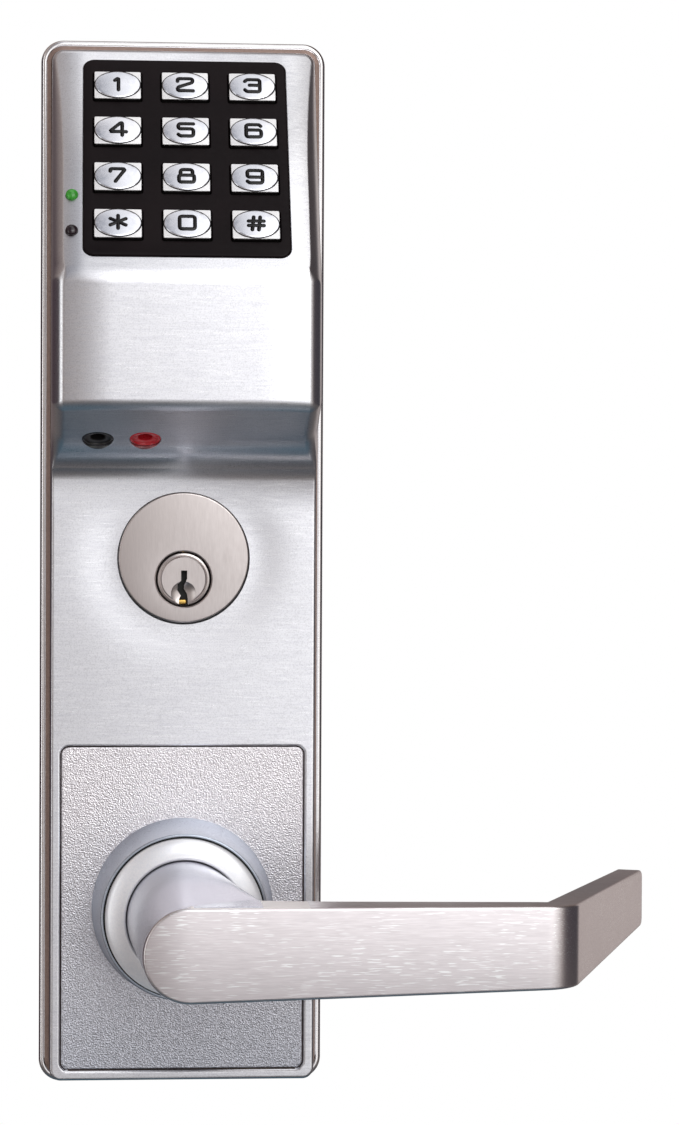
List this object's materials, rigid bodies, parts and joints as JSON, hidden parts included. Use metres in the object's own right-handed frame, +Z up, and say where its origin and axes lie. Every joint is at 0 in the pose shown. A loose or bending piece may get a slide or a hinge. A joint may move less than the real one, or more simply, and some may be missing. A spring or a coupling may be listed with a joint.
{
  "type": "keypad smart lock",
  "caption": "Keypad lock trim with sloped key panel, mortise key cylinder and spring-returned lever, for mounting on a door.",
  "frame": {"origin": "where the lever's axis meets the door's face", "axes": "+Z up along the escutcheon, -Y out of the door towards the user, +X the way the lever points"},
  "size_m": [0.1607, 0.111, 0.28],
  "materials": {
    "escutcheon_chrome": "satin chrome, brushed across, lightly worn",
    "satin_chrome": "satin chrome, brushed along the piece",
    "cylinder_chrome": "satin nickel tone, turned",
    "key_metal": "bright satin metal",
    "plain_steel": "zinc plated",
    "brass": "machined",
    "black_plastic": "satin black",
    "cream_plastic": "moulded",
    "red_plastic": "moulded, gloss",
    "circuit_board": "solder mask",
    "green_lens": "clear tinted lens",
    "dark_lens": "unlit tinted lens",
    "rubber": "moulded rubber"
  },
  "bodies": {
    "base": {"escutcheon": "escutcheon_chrome", "back_plate": "plain_steel", "back_plate_screws": "plain_steel", "gasket": "rubber", "mounting_posts": "plain_steel", "keypad_bezel": "black_plastic", "keypad_mat": "rubber", "circuit_board": "circuit_board", "board_components": "black_plastic", "board_screws": "plain_steel", "buzzer": "black_plastic", "cable_header": "cream_plastic", "green_led_lens": "green_lens", "dark_led_lens": "dark_lens", "black_jack": "black_plastic", "red_jack": "red_plastic", "jack_contacts": "brass", "jack_nuts": "plain_steel", "cylinder_shell": "cylinder_chrome", "driver_pins": "brass", "pin_springs": "plain_steel", "rose": "satin_chrome", "dress_ring": "satin_chrome", "hub_bushing": "brass", "spring_cage": "plain_steel", "return_spring": "plain_steel", "clutch_motor": "plain_steel", "motor_bracket": "plain_steel"},
    "lever_body": {"lever": "satin_chrome", "lever_hub": "plain_steel", "lever_set_screw": "plain_steel", "retaining_ring": "plain_steel", "drive_ring": "plain_steel"},
    "dog_body": {"clutch_dog": "brass"},
    "spindle_body": {"spindle": "plain_steel", "spindle_collar": "brass"},
    "plug_body": {"plug": "cylinder_chrome", "bottom_pins": "brass", "cam": "brass", "cam_screws": "plain_steel"},
    "motor_cam_body": {"motor_cam": "brass"},
    "key_1_body": {"key_1": "key_metal"},
    "key_2_body": {"key_2": "key_metal"},
    "key_3_body": {"key_3": "key_metal"},
    "key_4_body": {"key_4": "key_metal"},
    "key_5_body": {"key_5": "key_metal"},
    "key_6_body": {"key_6": "key_metal"},
    "key_7_body": {"key_7": "key_metal"},
    "key_8_body": {"key_8": "key_metal"},
    "key_9_body": {"key_9": "key_metal"},
    "key_star_body": {"key_star": "key_metal"},
    "key_0_body": {"key_0": "key_metal"},
    "key_hash_body": {"key_hash": "key_metal"}
  },
  "joints": [
    {"name": "lever_turn", "type": "hinge", "parent": "base", "child": "lever_body", "pos_m": [0, 0, 0], "axis": [0, 1, 0], "range_deg": [0, 50], "stiffness_Nm_per_rad": 0.6, "springref_deg": -57.3},
    {"name": "spindle_turn", "type": "hinge", "parent": "base", "child": "spindle_body", "pos_m": [0, 0, 0], "axis": [0, 1, 0], "range_deg": [0, 50]},
    {"name": "clutch_slide", "type": "slide", "parent": "lever_body", "child": "dog_body", "axis": [0, 0, 1], "range_m": [0, 0.0025], "stiffness_N_per_m": 60, "springref_m": -0.003},
    {"name": "plug_turn", "type": "hinge", "parent": "base", "child": "plug_body", "pos_m": [0, 0, 0.0873], "axis": [0, 1, 0], "continuous": true},
    {"name": "motor_cam_turn", "type": "hinge", "parent": "base", "child": "motor_cam_body", "pos_m": [0, -0.009, 0.0255], "axis": [1, 0, 0], "continuous": true},
    {"name": "key_1_press", "type": "slide", "parent": "base", "child": "key_1_body", "axis": [0, 0.8625, -0.5061], "range_m": [0, 0.001], "stiffness_N_per_m": 1200, "springref_m": -0.0004},
    {"name": "key_2_press", "type": "slide", "parent": "base", "child": "key_2_body", "axis": [0, 0.8625, -0.5061], "range_m": [0, 0.001], "stiffness_N_per_m": 1200, "springref_m": -0.0004},
    {"name": "key_3_press", "type": "slide", "parent": "base", "child": "key_3_body", "axis": [0, 0.8625, -0.5061], "range_m": [0, 0.001], "stiffness_N_per_m": 1200, "springref_m": -0.0004},
    {"name": "key_4_press", "type": "slide", "parent": "base", "child": "key_4_body", "axis": [0, 0.8625, -0.5061], "range_m": [0, 0.001], "stiffness_N_per_m": 1200, "springref_m": -0.0004},
    {"name": "key_5_press", "type": "slide", "parent": "base", "child": "key_5_body", "axis": [0, 0.8625, -0.5061], "range_m": [0, 0.001], "stiffness_N_per_m": 1200, "springref_m": -0.0004},
    {"name": "key_6_press", "type": "slide", "parent": "base", "child": "key_6_body", "axis": [0, 0.8625, -0.5061], "range_m": [0, 0.001], "stiffness_N_per_m": 1200, "springref_m": -0.0004},
    {"name": "key_7_press", "type": "slide", "parent": "base", "child": "key_7_body", "axis": [0, 0.8625, -0.5061], "range_m": [0, 0.001], "stiffness_N_per_m": 1200, "springref_m": -0.0004},
    {"name": "key_8_press", "type": "slide", "parent": "base", "child": "key_8_body", "axis": [0, 0.8625, -0.5061], "range_m": [0, 0.001], "stiffness_N_per_m": 1200, "springref_m": -0.0004},
    {"name": "key_9_press", "type": "slide", "parent": "base", "child": "key_9_body", "axis": [0, 0.8625, -0.5061], "range_m": [0, 0.001], "stiffness_N_per_m": 1200, "springref_m": -0.0004},
    {"name": "key_star_press", "type": "slide", "parent": "base", "child": "key_star_body", "axis": [0, 0.8625, -0.5061], "range_m": [0, 0.001], "stiffness_N_per_m": 1200, "springref_m": -0.0004},
    {"name": "key_0_press", "type": "slide", "parent": "base", "child": "key_0_body", "axis": [0, 0.8625, -0.5061], "range_m": [0, 0.001], "stiffness_N_per_m": 1200, "springref_m": -0.0004},
    {"name": "key_hash_press", "type": "slide", "parent": "base", "child": "key_hash_body", "axis": [0, 0.8625, -0.5061], "range_m": [0, 0.001], "stiffness_N_per_m": 1200, "springref_m": -0.0004}
  ],
  "couplings": [
    {"joint": "spindle_turn", "follows": "lever_turn", "ratio": 1}
  ]
}
